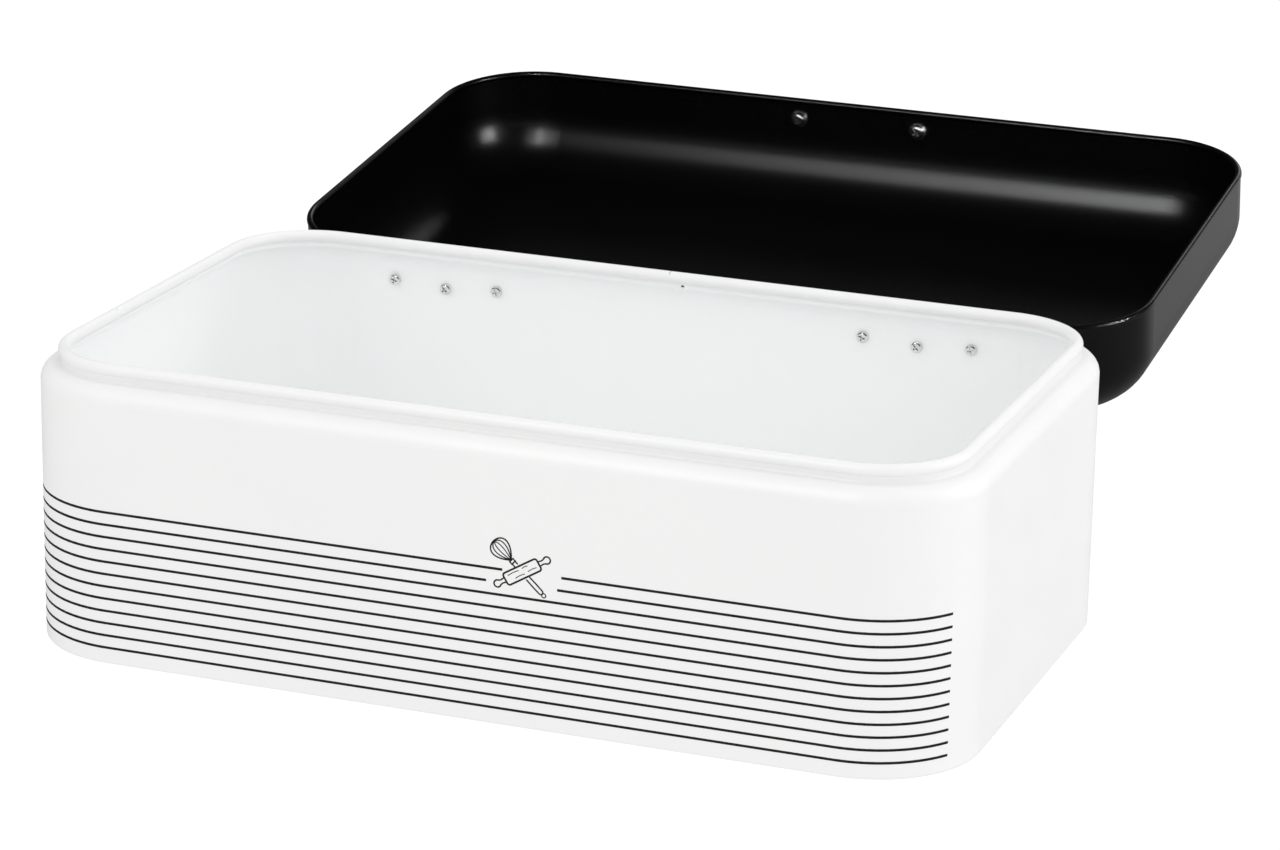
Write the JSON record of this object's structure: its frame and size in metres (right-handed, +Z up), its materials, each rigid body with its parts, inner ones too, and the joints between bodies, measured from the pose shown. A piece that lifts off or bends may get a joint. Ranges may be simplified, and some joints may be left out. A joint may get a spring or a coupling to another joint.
{
  "type": "bread box",
  "caption": "Rounded sheet-metal bread box with a wired neck rim, a deep lid hinged along the rear that swings right over, and a bow pull on the lid.",
  "frame": {"origin": "on the surface it stands on, under the middle of the whole object with its lid open; the middle of the box itself is 138.5 mm in front of it, at y = -0.1385", "axes": "+Z up; -Y towards the front, where the box is; +Y towards the back, where the opened lid lies; +X to the right seen from the front"},
  "size_m": [0.425, 0.5322, 0.152],
  "materials": {
    "box_paint": "satin powder coat, off-white",
    "lid_paint": "satin powder coat, black",
    "foot_rubber": "matt",
    "hinge_steel": "zinc-plated",
    "screw_steel": "nickel-plated"
  },
  "bodies": {
    "base": {"box_shell": "box_paint", "floor_pan": "box_paint", "rubber_feet": "foot_rubber", "left_hinge_box_leaf": "hinge_steel", "left_hinge_pin": "hinge_steel", "left_hinge_box_screws": "screw_steel", "left_hinge_box_cap_nuts": "screw_steel", "right_hinge_box_leaf": "hinge_steel", "right_hinge_pin": "hinge_steel", "right_hinge_box_screws": "screw_steel", "right_hinge_box_cap_nuts": "screw_steel"},
    "lid": {"lid_shell": "lid_paint", "handle": "lid_paint", "handle_screws": "screw_steel", "handle_washers": "screw_steel", "left_hinge_lid_leaf": "hinge_steel", "left_hinge_lid_screws": "screw_steel", "left_hinge_lid_cap_nuts": "screw_steel", "right_hinge_lid_leaf": "hinge_steel", "right_hinge_lid_screws": "screw_steel", "right_hinge_lid_cap_nuts": "screw_steel"}
  },
  "joints": [
    {"name": "lid_hinge", "type": "hinge", "parent": "base", "child": "lid", "pos_m": [0, -0.0055, 0.1218], "axis": [1, 0, 0], "range_deg": [0, 172.7]}
  ]
}
